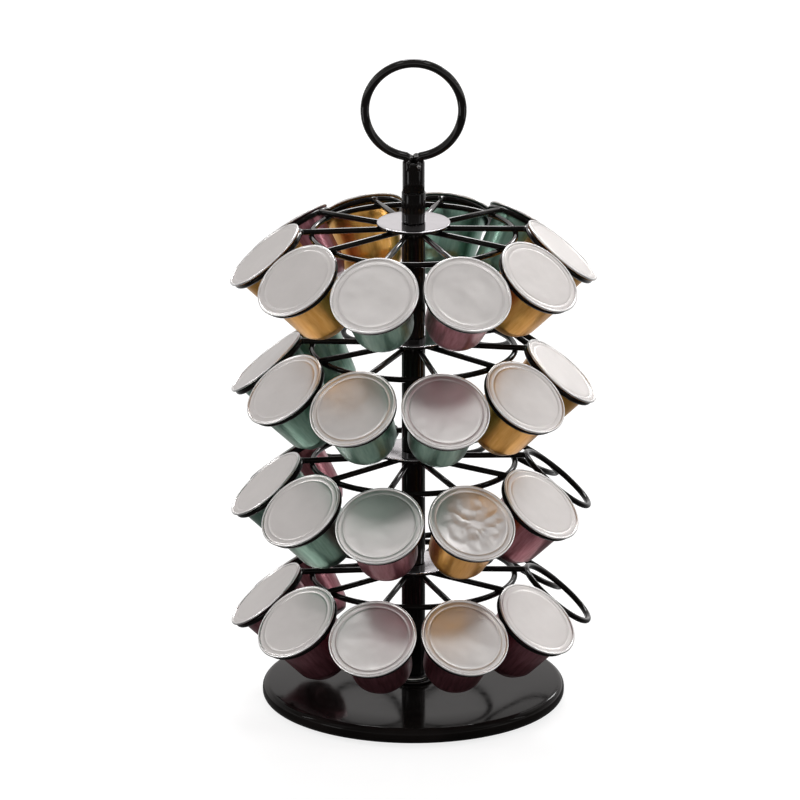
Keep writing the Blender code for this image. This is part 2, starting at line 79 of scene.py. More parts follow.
# Heights, from the base up.
BASE_BOTTOM = 0.0015
BASE_TOP = BASE_BOTTOM + BASE_THICKNESS
FLANGE_NUT_BOTTOM = BASE_TOP + CLEARANCE
FLANGE_NUT_TOP = FLANGE_NUT_BOTTOM + FLANGE_NUT_THICKNESS
COLLAR_BOTTOM = FLANGE_NUT_TOP + CLEARANCE + WASHER_THICKNESS + CLEARANCE
COLLAR_TOP = COLLAR_BOTTOM + COLLAR_THICKNESS
HUB_HEIGHTS = [BOTTOM_HUB_HEIGHT + TIER_SPACING * tier for tier in range(TIER_COUNT)]
SLEEVE_BOTTOM = HUB_HEIGHTS[-1] + CLEARANCE
SLEEVE_TOP = SLEEVE_BOTTOM + SLEEVE_LENGTH
STEM_BOTTOM = SLEEVE_TOP + CLEARANCE
STEM_TOP = STEM_BOTTOM + STEM_LENGTH
STEM_FLOOR = STEM_TOP - STEM_POCKET_DEPTH

# Sizes of the looks alone.
SHARP_DEG = 38
BASE_TOP_RINGS = (0.02, 0.045)
HUB_FLAT_RADIUS = 0.012
SLEEVE_RADIUS = 0.0049
RING_SLACK = 0.0004
SMALL_EDGE, FOOT_EDGE, STEM_EDGE = 0.0003, 0.0006, 0.0006
FLANGE_NUT_EDGE, COLLAR_EDGE, TUBE_EDGE, HUB_LOWER_EDGE = 0.00035, 0.0004, 0.0002, 0.0004

# A wire's rounded end, as (step out, width) in shares of its radius.
WIRE_END = ((0.5, 0.8), (0.8, 0.35))

# Weld beads: dents, sizes (across, along) and places at the rings and at the hoop, and first seeds.
BEAD_DENT, BEAD_GRAIN = 0.14, 1.7
RING_BEAD, RING_BEAD_INSET = (WIRE * 1.1, WIRE * 1.7), WIRE * 0.2
HOOP_BEAD, HOOP_BEAD_DROP = (WIRE * 0.9, WIRE * 1.6), WIRE * 0.8
HOOP_SEED, HANDLE_SEED = 20, 60

# Seams below the handle's ends: distance from the middle, towards the front, length, radius and rises.
SEAM_SIDE, SEAM_FRONT, SEAM_LENGTH, SEAM_RADIUS = 0.0021, 0.0037, 0.0028, 0.0009
SEAM_RISES = ((-1, 0.0004), (1, 0.0))

# Weld lumps at the handle's ends: x, y, height above the stem and radius.
HANDLE_LUMPS = (
    (0.0011, -0.0005, 0.0022, 0.0014),
    (-0.0011, -0.0004, 0.0017, 0.0012),
    (0.0021, -0.0042, -0.0012, 0.0010),
    (-0.0020, -0.0036, 0.0002, 0.0009),
)

# The lid: its flat middle, where its foil ends, and its rolled rim.
LID_FLAT_RADIUS, LID_SAG, FOIL_RADIUS = 0.0142, 0.00032, 0.0171
RIM_RADIUS, RIM_SIZE = 0.01768, 0.00052

# The foil's dents as (cells per metre, height), how they fade, and the seal band's ripple.
SOFT_DENTS = ((90, 0.00012), (260, 0.000035))
FADE_RADIUS, FADE_WIDTH = 0.0148, 0.003
BAND_RADIUS, BAND_WIDTH, BAND_HEIGHT, BAND_RIPPLES = 0.0161, 0.0008, 0.000006, 58

# The cup's wall: where it starts under the flange, how much it narrows and how far it falls.
WALL_RADIUS, WALL_START, WALL_TAPER, WALL_FALL = 0.01477, 0.0026, 0.00225, 0.0197

# Creases: (cells per metre, share of the shift, height), their wander, and strength by (tier, slot) from 1.
FOLDS = ((140, 2, 0.0006), (320, -1, 0.00018))
WANDER_CELLS, WANDER = 120, 0.003
CREASES = {(2, 1): 1.0}


# Meshes


def solid(name, points, faces, materials, place=None, shift=0):
    """An object from points and (corners, material index) faces, shaded smooth across shallow edges.

    The points are moved by the matrix place. Where they were before is kept for the materials, with a shift
    along Z that gives like pieces unlike grain.
    """
    mesh = bpy.data.meshes.new(name)
    moved = [place @ Vector(point) for point in points] if place else points
    mesh.from_pydata(moved, [], [corners for corners, _ in faces])
    mesh.polygons.foreach_set("material_index", [index for _, index in faces])
    for material in materials:
        mesh.materials.append(material)
    shape = bmesh.new()
    shape.from_mesh(mesh)
    bmesh.ops.recalc_face_normals(shape, faces=shape.faces)
    shape.to_mesh(mesh)
    shape.free()
    local = mesh.attributes.new("local", "FLOAT_VECTOR", "POINT")
    local.data.foreach_set("vector", [value for x, y, z in points for value in (x, y, z + shift)])
    mesh.shade_smooth()
    mesh.set_sharp_from_angle(angle=math.radians(SHARP_DEG))
    made = bpy.data.objects.new(name, mesh)
    bpy.context.scene.collection.objects.link(made)
    return made


def turned(profile, segments, closed=False, wave=None):
    """Points and faces of a profile of (radius, height, material index) turned about Z.

    A closed profile joins its last point to its first. A wave adds height by radius and angle.
    """
    points, rings, faces = [], [], []
    for radius, height, _ in profile:
        count = 1 if radius == 0 else segments
        rings.append(range(len(points), len(points) + count))
        for index in range(count):
            angle = math.tau * index / segments
            lift = wave(radius, angle) if wave else 0
            points.append((radius * math.cos(angle), radius * math.sin(angle), height + lift))
    pairs = list(zip(rings, rings[1:], (index for _, _, index in profile)))
    if closed:
        pairs.append((rings[-1], rings[0], profile[-1][2]))
    for first, second, material in pairs:
        for index in range(segments):
            after = (index + 1) % segments
            corners = [first[index % len(first)], second[index % len(second)]]
            if len(second) > 1:
                corners.append(second[after])
            if len(first) > 1:
                corners.append(first[after])
            faces.append((corners, material))
    return points, faces


def wire(path, across, radius, sides, closed=False, start=0):
    """Points and faces of a round wire along a flat path, with rounded ends where it is open."""
    stations = []
    count = len(path)
    for index, point in enumerate(path):
        before = path[index - 1] if closed or index else None
        after = path[(index + 1) % count] if closed or index < count - 1 else None
        arriving = (point - before).normalized() if before else (after - point).normalized()
        leaving = (after - point).normalized() if after else arriving
        along = (arriving + leaving).normalized()
        stations.append((point, along.cross(across).normalized() / along.dot(leaving), radius))
    if not closed:
        ends = []
        for end, inner, row in ((path[0], path[1], 0), (path[-1], path[-2], -1)):
            out, outward = (end - inner).normalized(), stations[row][1]
            ends.append([(end + out * radius * step, outward, radius * share) for step, share in WIRE_END])
        stations = ends[0][::-1] + stations + ends[1]
    points, faces = [], []
    for point, outward, size in stations:
        for side in range(sides):
            angle = math.tau * side / sides
            points.append(point + (across * math.cos(angle) + outward * math.sin(angle)) * size)
    rows = len(stations)
    for row in range(rows if closed else rows - 1):
        for side in range(sides):
            after = (side + 1) % sides
            first, second = start + row * sides, start + (row + 1) % rows * sides
            faces.append(([first + side, second + side, second + after, first + after], 0))
    if not closed:
        faces.append((list(range(start, start + sides)), 0))
        faces.append((list(range(start + (rows - 1) * sides, start + rows * sides)), 0))
    return points, faces


def bead(centre, size, along, start, seed):
    """Points and faces of a small weld lump of size (across, along), with its seed's own dents."""
    rows, sides = 6, 10
    turn = along.to_track_quat("Z", "Y").to_matrix()
    points, faces = [], []
    for row in range(1, rows):
        slope = math.pi * row / rows
        for side in range(sides):
            angle = math.tau * side / sides
            across = math.sin(slope)
            spot = Vector((across * math.cos(angle), across * math.sin(angle), math.cos(slope)))
            lump = 1 + BEAD_DENT * noise.noise(spot * BEAD_GRAIN + Vector((seed, 0, 0)))
            grown = Vector((spot.x * size[0], spot.y * size[0], spot.z * size[1]))
            points.append(centre + turn @ grown * lump)
    for row in range(rows - 2):
        for side in range(sides):
            after = (side + 1) % sides
            first, second = start + row * sides, start + (row + 1) * sides
            faces.append(([first + side, second + side, second + after, first + after], 0))
    faces.append((list(range(start, start + sides)), 0))
    faces.append((list(range(start + (rows - 2) * sides, start + (rows - 1) * sides)), 0))
    return points, faces


def arc(centre, first, second, radius, start_deg, end_deg, steps):
    """Points round a centre, in the plane of two directions, from the first towards the second."""
    points = []
    for step in range(steps + 1):
        angle = math.radians(start_deg + (end_deg - start_deg) * step / steps)
        points.append(centre + (first * math.cos(angle) + second * math.sin(angle)) * radius)
    return points


def corner(radius, height, size, start_deg, end_deg, steps=5, material=0):
    """Profile points round a corner whose centre is at radius and height."""
    points = []
    for step in range(steps + 1):
        angle = math.radians(start_deg + (end_deg - start_deg) * step / steps)
        points.append((radius + size * math.cos(angle), height + size * math.sin(angle), material))
    return points


def upper_edge(radius, top, size, steps, material=0):
    """Profile points round the upper outer edge of a disc."""
    return corner(radius - size, top - size, size, 90, 0, steps, material)


def lower_edge(radius, bottom, size, steps, material=0):
    """Profile points round the lower outer edge of a disc."""
    return corner(radius - size, bottom + size, size, 0, -90, steps, material)


# Materials


class Look:
    """A Principled material with helpers for its procedural nodes."""

    def __init__(self, name, local=False, **values):
        self.material = bpy.data.materials.new(name)
        self.material.use_nodes = True
        self.tree = self.material.node_tree
        self.shader = self.tree.nodes["Principled BSDF"]
        for socket, value in values.items():
            self.shader.inputs[socket.replace("_", " ")].default_value = value
        if local:
            place = self.tree.nodes.new("ShaderNodeAttribute")
            place.attribute_name = "local"
            self.place = place.outputs["Vector"]
        else:
            self.place = self.tree.nodes.new("ShaderNodeTexCoord").outputs["Object"]

    def link(self, source, target):
        self.tree.links.new(source, target)

    def stretched(self, scale):
        mapping = self.tree.nodes.new("ShaderNodeMapping")
        mapping.inputs["Scale"].default_value = scale
        self.link(self.place, mapping.inputs["Vector"])
        return mapping.outputs["Vector"]

    def noise(self, scale, detail=3.0, rough=0.5, distortion=0.0, vector=None):
        texture = self.tree.nodes.new("ShaderNodeTexNoise")
        texture.inputs["Scale"].default_value = scale
        texture.inputs["Detail"].default_value = detail
        texture.inputs["Roughness"].default_value = rough
        texture.inputs["Distortion"].default_value = distortion
        self.link(vector or self.place, texture.inputs["Vector"])
        return texture.outputs["Fac"]

    def span(self, source, low, high, start=0.3, end=0.7):
        """The source, moved from the range start to end into low to high."""
        change = self.tree.nodes.new("ShaderNodeMapRange")
        for name, value in (("From Min", start), ("From Max", end), ("To Min", low), ("To Max", high)):
            change.inputs[name].default_value = value
        self.link(source, change.inputs["Value"])
        return change.outputs["Result"]

    def facing(self):
        """0 where the surface faces the eye, 1 at its edge."""
        weight = self.tree.nodes.new("ShaderNodeLayerWeight")
        weight.inputs["Blend"].default_value = 0.5
        return weight.outputs["Facing"]

    def ramp(self, source, *stops):
        ramp = self.tree.nodes.new("ShaderNodeValToRGB")
        elements = ramp.color_ramp.elements
        while len(elements) < len(stops):
            elements.new(0.5)
        for element, (place, colour) in zip(elements, stops):
            element.position = place
            element.color = (*colour, 1)
        self.link(source, ramp.inputs["Fac"])
        return ramp.outputs["Color"]

    def patches(self, source, tint, share):
        """A tint with darker patches, down to a share of it."""
        dark = tuple(value * share for value in tint)
        return self.ramp(source, (0.3, dark), (0.7, tint))

    def bump(self, *layers):
        """Bump from (height source, distance in metres) layers, one over the other."""
        normal = None
        for source, distance in layers:
            step = self.tree.nodes.new("ShaderNodeBump")
            step.inputs["Distance"].default_value = distance
            self.link(source, step.inputs["Height"])
            if normal:
                self.link(normal, step.inputs["Normal"])
            normal = step.outputs["Normal"]
        self.link(normal, self.shader.inputs["Normal"])

    def set(self, socket, source):
        self.link(source, self.shader.inputs[socket])


def gloss_paint(name, roughness, peel, index, edge=0.65):
    """Black gloss paint with a faint orange peel, its index of refraction rising as it turns away."""
    look = Look(name)
    look.set("IOR", look.span(look.facing(), *index, 0.3, edge))
    stops = (0.3, (0.004, 0.0034, 0.0032)), (0.7, (0.009, 0.0075, 0.007))
    look.set("Base Color", look.ramp(look.noise(60, 4), *stops))
    look.set("Roughness", look.span(look.noise(240, 4), roughness * 0.75, roughness * 1.3))
    look.bump((look.noise(600, 2), peel))
    return look.material


def foil(name, tint, low, high, dents):
    """Bright lacquered aluminium foil with soft dents, its roughness between low and high."""
    look = Look(name, local=True, Metallic=1.0)
    look.set("Base Color", look.patches(look.noise(90, 4, 0.6), tint, 0.94))
    look.set("Roughness", look.span(look.noise(160, 4, 0.6), low, high))
    look.bump((look.noise(160, 2, 0.5, 0.6), dents), (look.noise(900, 3), dents * 0.25))
    return look.material


def lacquered_cup(name, light, dark):
    """Drawn aluminium under a coloured lacquer, with fine lines along the cup."""
    look = Look(name, local=True, Metallic=0.9, Coat_Weight=0.4, Coat_Roughness=0.15)
    lines = look.noise(1.0, 3, 0.6, vector=look.stretched((800, 800, 18)))
    look.set("Base Color", look.ramp(lines, (0.32, dark), (0.68, light)))
    look.set("Roughness", look.span(look.noise(180, 3), 0.3, 0.4))
    look.bump((lines, 0.000008), (look.noise(90, 2), 0.000012))
    return look.material


def plain_metal(name, tint):
    """Dull zinc plating with a fine grain."""
    look = Look(name, Metallic=1.0)
    look.set("Base Color", look.patches(look.noise(400, 4), tint, 0.8))
    look.set("Roughness", look.span(look.noise(900, 3), 0.28, 0.45))
    look.bump((look.noise(1200, 2), 0.00001))
    return look.material


def bright_plating(name, tint):
    """Smooth bright plating with a faint haze."""
    look = Look(name, Metallic=1.0)
    look.set("Base Color", look.patches(look.noise(220, 4), tint, 0.93))
    look.set("Roughness", look.span(look.noise(300, 4), 0.08, 0.15))
    look.bump((look.noise(260, 2), 0.00001))
    return look.material


def matte(name, tint, roughness):
    """Rubber or plastic with a fine grain."""
    look = Look(name)
    look.set("Base Color", look.patches(look.noise(500, 4), tint, 0.8))
    look.set("Roughness", look.span(look.noise(800, 3), roughness * 0.85, roughness))
    look.bump((look.noise(1500, 3), 0.00004))
    return look.material


BLACK = gloss_paint("black_paint", roughness=0.08, peel=0.000004, index=(1.25, 1.4))
# Two copies of one wire paint, by tier: the lower tiers' copy reflects little at its edges, painted shade for
# the tiers under the top one; the top tier's copy reflects strongly at its edges, painted highlight.
LOWER_WIRE_PAINTED_SHADE = gloss_paint("lower_wire_paint_painted_shade", roughness=0.06, peel=0.000001, index=(1.15, 1.42), edge=0.8)
TOP_WIRE_PAINTED_HIGHLIGHT = gloss_paint("top_wire_paint_painted_highlight", roughness=0.06, peel=0.000001, index=(1.15, 2.3))
HANDLE_BLACK = gloss_paint("handle_paint", roughness=0.06, peel=0.000002, index=(1.36, 1.5))
WELD_BLACK = gloss_paint("weld_paint", roughness=0.12, peel=0.000001, index=(2.6, 3.0))
BASE_BLACK = gloss_paint("base_paint", roughness=0.1, peel=0.000003, index=(1.12, 1.22))
FOIL = foil("lid_foil", (0.75, 0.725, 0.71), low=0.34, high=0.42, dents=0.00002)
RIM = foil("rim_aluminium", (0.86, 0.85, 0.84), low=0.3, high=0.36, dents=0.000001)
CUPS = {
    "gold": lacquered_cup("cup_gold", (0.95, 0.52, 0.13), (0.80, 0.38, 0.07)),
    "green": lacquered_cup("cup_green", (0.24, 0.40, 0.32), (0.15, 0.28, 0.22)),
    "maroon": lacquered_cup("cup_maroon", (0.46, 0.18, 0.22), (0.29, 0.09, 0.11)),
}
ZINC = plain_metal("zinc_plate", (0.62, 0.62, 0.64))
PLATED = bright_plating("bright_plating", (0.80, 0.78, 0.81))
RUBBER = matte("foot_rubber", (0.03, 0.03, 0.03), 0.8)
NYLON = matte("washer_nylon", (0.75, 0.74, 0.7), 0.5)


def piece(made, body, slot, *nodes):
    """Lets an object ride on a body, in the place of the nodes, which it hides. The slot is not used."""
    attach(made, body)
    if nodes:
        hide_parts(*nodes)


# Base


def make_base():
    """The base plate, with a pocket for its nut and a recess for each rubber foot, and the feet."""
    pocket_top = BASE_BOTTOM + NUT_POCKET_DEPTH
    profile = [(radius, BASE_TOP, 0) for radius in (BORE_RADIUS, *BASE_TOP_RINGS)]
    profile += upper_edge(BASE_RADIUS, BASE_TOP, BASE_EDGE, 8)
    profile += lower_edge(BASE_RADIUS, BASE_BOTTOM, BASE_EDGE, 8)
    profile += [(NUT_POCKET_RADIUS, height, 0) for height in (BASE_BOTTOM, pocket_top)]
    profile += [(BORE_RADIUS, pocket_top, 0)]
    plate = solid("base", *turned(profile, 144, closed=True), [BASE_BLACK])
    recess = FOOT_RADIUS + CLEARANCE
    cut_top = BASE_BOTTOM + FOOT_RECESS_DEPTH
    cutters = []
    for index in range(FOOT_COUNT):
        angle = math.tau * (index + 0.5) / FOOT_COUNT
        place = Vector((math.cos(angle), math.sin(angle), 0)) * FOOT_CIRCLE_RADIUS
        outline = [(0, cut_top, 0), (recess, cut_top, 0), (recess, 0, 0), (0, 0, 0)]
        move = Matrix.Translation(place)
        cutters.append(solid("recess", *turned(outline, 32), [BASE_BLACK], move))
        foot_profile = [(0, cut_top - CLEARANCE, 0), (FOOT_RADIUS, cut_top - CLEARANCE, 0)]
        foot_profile += lower_edge(FOOT_RADIUS, 0, FOOT_EDGE, 4) + [(0, 0, 0)]
        foot = solid(f"rubber_foot_{index + 1}", *turned(foot_profile, 36), [RUBBER], move)
        piece(foot, "base", "rubber", f"foot_{index + 1}")
    for cutter in cutters:
        change = plate.modifiers.new("recess", "BOOLEAN")
        change.object = cutter
        change.solver = "EXACT"
    graph = bpy.context.evaluated_depsgraph_get()
    plate_mesh = bpy.data.meshes.new_from_object(plate.evaluated_get(graph))
    plate.modifiers.clear()
    plate.data = plate_mesh
    for cutter in cutters:
        bpy.data.objects.remove(cutter)
    piece(plate, "base", "black_paint", "base_plate")


# Post


def stacked(name, profile, segments, materials, body, slot, node):
    """Makes a piece turned about the post, open along its bore."""
    piece(solid(name, *turned(profile, segments, closed=True), materials), body, slot, node)


def spigot(top, shoulder):
    """Profile points of the spigot that enters the next tube, from its bore down to its shoulder."""
    return [(BORE_RADIUS, top, 0), (SPIGOT_RADIUS, top, 0), (SPIGOT_RADIUS, shoulder, 0)]


def socket(bottom):
    """Profile points of the socket that the spigot below enters."""
    top = bottom + SOCKET_DEPTH
    return [(SOCKET_RADIUS, bottom, 0), (SOCKET_RADIUS, top, 0), (BORE_RADIUS, top, 0)]


def make_flange_nut():
    profile = [(BORE_RADIUS, FLANGE_NUT_TOP, 0)]
    profile += upper_edge(FLANGE_NUT_RADIUS, FLANGE_NUT_TOP, FLANGE_NUT_EDGE, 4)
    profile += lower_edge(FLANGE_NUT_RADIUS, FLANGE_NUT_BOTTOM, SMALL_EDGE, 3)
    profile += [(BORE_RADIUS, FLANGE_NUT_BOTTOM, 0)]
    stacked("foot_flange_nut", profile, 64, [BLACK], "base", "black_paint", "flange_nut")


def make_collar():
    profile = spigot(COLLAR_TOP + SPIGOT_LENGTH, COLLAR_TOP)
    profile += upper_edge(COLLAR_RADIUS, COLLAR_TOP, COLLAR_EDGE, 4)
    profile += lower_edge(COLLAR_RADIUS, COLLAR_BOTTOM, SMALL_EDGE, 3)
    profile += [(BORE_RADIUS, COLLAR_BOTTOM, 0)]
    stacked("collar", profile, 64, [BLACK], "carousel", "black_paint", "foot_collar")


def make_tube(tier, bottom):
    hub = HUB_HEIGHTS[tier]
    shoulder = hub - HUB_THICKNESS - CLEARANCE
    profile = spigot(hub + SPIGOT_LENGTH, shoulder)
    profile += upper_edge(TUBE_RADIUS, shoulder, TUBE_EDGE, 2)
    profile += lower_edge(TUBE_RADIUS, bottom, TUBE_EDGE, 2) + socket(bottom)
    stacked(f"tube_{tier + 1}", profile, 64, [BLACK], "carousel", "black_paint", f"post_tube_{tier + 1}")


def make_hub(tier):
    """A plate over the spokes, bright on top, black on its edge and underneath."""
    top, node = HUB_HEIGHTS[tier], f"hub_plate_{tier + 1}"
    edge = HUB_RADIUS - SMALL_EDGE, top - SMALL_EDGE, SMALL_EDGE
    profile = [(SOCKET_RADIUS, top, 0), (HUB_FLAT_RADIUS, top, 0)]
    profile += corner(*edge, 90, 30, 4) + corner(*edge, 15, 0, 1, 1)
    profile += lower_edge(HUB_RADIUS, top - HUB_THICKNESS, HUB_LOWER_EDGE, 3, 1)
    profile += [(SOCKET_RADIUS, top - HUB_THICKNESS, 0)]
    stacked(f"hub_{tier + 1}", profile, 96, [PLATED, BLACK], "carousel", "bright_plate", node)


def make_sleeve():
    profile = [(BORE_RADIUS, SLEEVE_TOP, 0)]
    profile += upper_edge(SLEEVE_RADIUS, SLEEVE_TOP, SMALL_EDGE, 4)
    profile += lower_edge(SLEEVE_RADIUS, SLEEVE_BOTTOM, SMALL_EDGE, 3) + socket(SLEEVE_BOTTOM)
    stacked("sleeve", profile, 64, [BLACK], "carousel", "black_paint", "top_sleeve")


def make_post():
    make_flange_nut()
    make_collar()
    bottom = COLLAR_TOP + CLEARANCE
    for tier, hub in enumerate(HUB_HEIGHTS):
        make_tube(tier, bottom)
        make_hub(tier)
        bottom = hub + CLEARANCE
    make_sleeve()


# Handle


def make_stem():
    web = STEM_FLOOR - STEM_WEB
    profile = [(0, STEM_FLOOR, 0), (STEM_POCKET_RADIUS, STEM_FLOOR, 0), (STEM_POCKET_RADIUS, STEM_TOP, 0)]
    profile += upper_edge(STEM_RADIUS, STEM_TOP, STEM_EDGE, 5)
    profile += lower_edge(STEM_RADIUS, STEM_BOTTOM, SMALL_EDGE, 3)
    profile += [(BORE_RADIUS, STEM_BOTTOM, 0), (BORE_RADIUS, web, 0), (0, web, 0)]
    piece(solid("stem", *turned(profile, 64), [BLACK]), "base", "black_paint", "handle_stem")


def handle_path():
    """The middle line of the handle's wire: up out of the stem, round the ring and down again."""
    right = Vector((1, 0, 0))
    leg = HANDLE_WIRE + CLEARANCE / 2
    offset = leg + HANDLE_BEND
    height = STEM_TOP + HANDLE_RISE
    rise = math.sqrt((HANDLE_RING + HANDLE_BEND) ** 2 - offset**2)
    lean = math.degrees(math.atan2(rise, offset))
    centre = UP * (height + rise)
    floor = UP * (STEM_FLOOR + CLEARANCE + HANDLE_WIRE)
    path = [floor + right * leg]
    path += arc(right * offset + UP * height, right, UP, HANDLE_BEND, 180, 180 - lean, 12)
    path += arc(centre, right, UP, HANDLE_RING, -lean, 180 + lean, 110)[1:]
    path += arc(UP * height - right * offset, right, UP, HANDLE_BEND, lean, 0, 12)[1:]
    path.append(floor - right * leg)
    return path


def make_handle():
    """The ring handle, with two seams and some lumps of weld where its ends enter the stem."""
    across = Vector((0, 1, 0))
    points, faces = wire(handle_path(), across, HANDLE_WIRE, 24)
    for side, lift in SEAM_RISES:
        foot = Vector((side * SEAM_SIDE, -SEAM_FRONT, STEM_TOP))
        seam = wire([foot + UP * lift, foot - UP * SEAM_LENGTH], across, SEAM_RADIUS, 16, start=len(points))
        points, faces = points + seam[0], faces + seam[1]
    for seed, (x, y, lift, size) in enumerate(HANDLE_LUMPS, HANDLE_SEED):
        lump = bead(Vector((x, y, STEM_TOP + lift)), (size, size), UP, len(points), seed)
        points, faces = points + lump[0], faces + [(corners, 1) for corners, _ in lump[1]]
    piece(solid("handle", points, faces, [HANDLE_BLACK, WELD_BLACK]), "base", "black_paint", "ring_handle")


# Wire tiers


def slots(tier):
    """The outward directions of a tier's slots."""
    found = []
    for slot in range(SLOT_COUNT):
        angle = math.radians(FIRST_SLOT_DEG + 360 * slot / SLOT_COUNT + TIER_TURNS_DEG[tier])
        found.append(Vector((math.sin(angle), -math.cos(angle), 0)))
    return found


def make_tier(tier):
    """One welded frame: a hoop, ten spokes that fall a little outwards, ten tilted rings and the welds."""
    top = UP * HUB_HEIGHTS[tier]
    spoke_end = RING_TOP_RADIUS - WIRE + WELD
    hoop_share = (HOOP_RADIUS - SPOKE_START) / (spoke_end - SPOKE_START)
    spoke_at_hoop = SPOKE_DROP + (RING_TOP_DROP - SPOKE_DROP) * hoop_share
    points, faces = [], []

    def add(more):
        points.extend(more[0])
        faces.extend(more[1])

    hoop_height = UP * (spoke_at_hoop + 2 * WIRE - WELD)
    hoop = arc(top - hoop_height, Vector((1, 0, 0)), Vector((0, 1, 0)), HOOP_RADIUS, 0, 360, 120)[:-1]
    add(wire(hoop, UP, WIRE, 14, closed=True))
    for index, outward in enumerate(slots(tier)):
        sideways = UP.cross(outward)
        weld = top + outward * (spoke_end - RING_BEAD_INSET) - UP * RING_TOP_DROP
        root = top + outward * SPOKE_START - UP * SPOKE_DROP
        add(wire([root, weld], sideways, WIRE, 14, start=len(points)))
        normal = outward * math.sin(TILT) + UP * math.cos(TILT)
        climb = UP * math.sin(TILT) - outward * math.cos(TILT)
        centre = top + outward * LID_CIRCLE_RADIUS - UP * LID_DROP - normal * RING_DROP
        ring = arc(centre + climb * RING_SLACK, climb, sideways, RING_RADIUS - RING_SLACK, 0, 360, 60)[:-1]
        add(wire(ring, normal, WIRE, 14, closed=True, start=len(points)))
        add(bead(weld, RING_BEAD, sideways, len(points), index))
        crossing = top + outward * HOOP_RADIUS - UP * (spoke_at_hoop + HOOP_BEAD_DROP)
        add(bead(crossing, HOOP_BEAD, sideways, len(points), index + HOOP_SEED))
    # The top tier takes the wire paint with painted highlight, the tiers below it the one with painted shade.
    paint = TOP_WIRE_PAINTED_HIGHLIGHT if tier == TIER_COUNT - 1 else LOWER_WIRE_PAINTED_SHADE
    made = solid(f"wire_frame_{tier + 1}", points, faces, [paint])
    piece(made, "carousel", "black_paint", f"wire_tier_{tier + 1}")


# Capsules


def lid_profile():
    """Foil over the mouth with a seal band, then the rolled rim and its underside."""
    profile = [(LID_FLAT_RADIUS * step / 18, -LID_SAG, 0) for step in range(19)]
    for radius, height in (
        (0.0145, -0.00034),
        (0.0148, -0.00042),
        (0.0151, -0.00044),
        (0.0153, -0.00036),
        (0.0156, -0.0003),
        (0.0161, -0.00028),
        (0.0166, -0.00028),
        (0.0169, -0.0003),
        (0.01705, -0.0004),
        (0.01716, -0.00044),
    ):
        profile.append((radius, height, 0))
    profile += corner(RIM_RADIUS, -RIM_SIZE, RIM_SIZE, 160, -90, 12, 1)
    profile += [(0.0172, -0.00105, 1), (0.0150, -0.00105, 1), (0, -0.00098, 1)]
    return profile


def cup_profile():
    """Drawn cup: flange underside, wall, shoulder cone and a dished bottom."""
    profile = [(0, -0.00115, 0), (0.0149, -0.00112, 0), (0.0176, -0.00112, 0), (0.0178, -0.0012, 0)]
    profile += [(0.0176, -0.00128, 0), (0.0156, -0.0013, 0)]
    profile += [(0.01515, -0.00142, 0), (0.01488, -0.0018, 0), (WALL_RADIUS, -WALL_START, 0)]
    for step in range(1, 9):
        share = step / 9
        profile.append((WALL_RADIUS - share * WALL_TAPER, -WALL_START - share * WALL_FALL, 0))
    profile += [(0.01245, -0.0226, 0), (0.01228, -0.0232, 0), (0.012, -0.0238, 0)]
    profile += [(0.0114, -0.0248, 0), (0.0107, -0.026, 0), (0.0101, -0.0269, 0)]
    profile += [(0.0097, -0.0273, 0), (0.0092, -0.02752, 0), (0.0086, -0.0276, 0)]
    profile += [(0.0052, -0.0276, 0), (0.0048, -0.02752, 0), (0.0045, -0.02725, 0), (0, -0.0272, 0)]
    return profile


def lid_wave(seed, crease):
    """The function of radius and angle that adds the foil's dents, any creases and the seal band's ripple."""
    shift = Vector((seed * 3.1, seed * 1.7, seed))

    def wave(radius, angle):
        if radius > FOIL_RADIUS:
            return 0
        spot = Vector((radius * math.cos(angle), radius * math.sin(angle), 0))
        fade = min(1, max(0, (FADE_RADIUS - radius) / FADE_WIDTH))
        soft = sum(noise.noise(spot * cells + shift) * height for cells, height in SOFT_DENTS)
        cell = spot * WANDER_CELLS
        bent = spot + Vector((noise.noise(cell + shift), noise.noise(cell - shift), 0)) * WANDER
        fold = 0
        for cells, share, height in FOLDS:
            fold += (0.5 - abs(noise.noise(bent * cells + shift * share))) * height * crease
        ripple = BAND_HEIGHT * math.sin(angle * BAND_RIPPLES + seed)
        return fade * (soft + fold) + ripple * max(0, 1 - abs(radius - BAND_RADIUS) / BAND_WIDTH)

    return wave


def make_capsule(tier, slot, colour, outward):
    """A cup and its lid in one ring, square to it and turned at random about its own axis."""
    name = f"capsule_{tier + 1}_{slot + 1:02d}"
    normal = outward * math.sin(TILT) + UP * math.cos(TILT)
    sideways = UP.cross(outward)
    axes = Matrix((normal.cross(sideways), -sideways, normal)).transposed().to_4x4()
    centre = outward * LID_CIRCLE_RADIUS + UP * (HUB_HEIGHTS[tier] - LID_DROP)
    seed = tier * 10 + slot + 1
    spin = Matrix.Rotation(random.Random(seed).uniform(0, math.tau), 4, "Z")
    place = Matrix.Translation(centre) @ axes @ spin
    cup = solid(name + "_cup", *turned(cup_profile(), 72), [CUPS[colour]], place, seed * 0.07)
    piece(cup, name, "capsule_" + colour, name)
    crease = CREASES.get((tier + 1, slot + 1), 0)
    points, faces = turned(lid_profile(), 120, wave=lid_wave(seed, crease))
    lid = solid(name + "_lid", points, faces, [FOIL, RIM], place, seed * 0.07)
    piece(lid, name, "capsule_" + colour)


make_base()
make_post()
make_stem()
make_handle()
for tier_index in range(TIER_COUNT):
    make_tier(tier_index)
    for slot_index, (load, direction) in enumerate(zip(LOADS[tier_index], slots(tier_index))):
        if load:
            make_capsule(tier_index, slot_index, load, direction)

for node_name, material in (("spindle_rod", ZINC), ("base_nut", ZINC), ("thrust_washer", NYLON)):
    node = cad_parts[node_name]
    node.data.materials.clear()
    node.data.materials.append(material)


# Floor, light and camera

FLOOR_REACH, FLOOR_WHITE = 12, 0.8

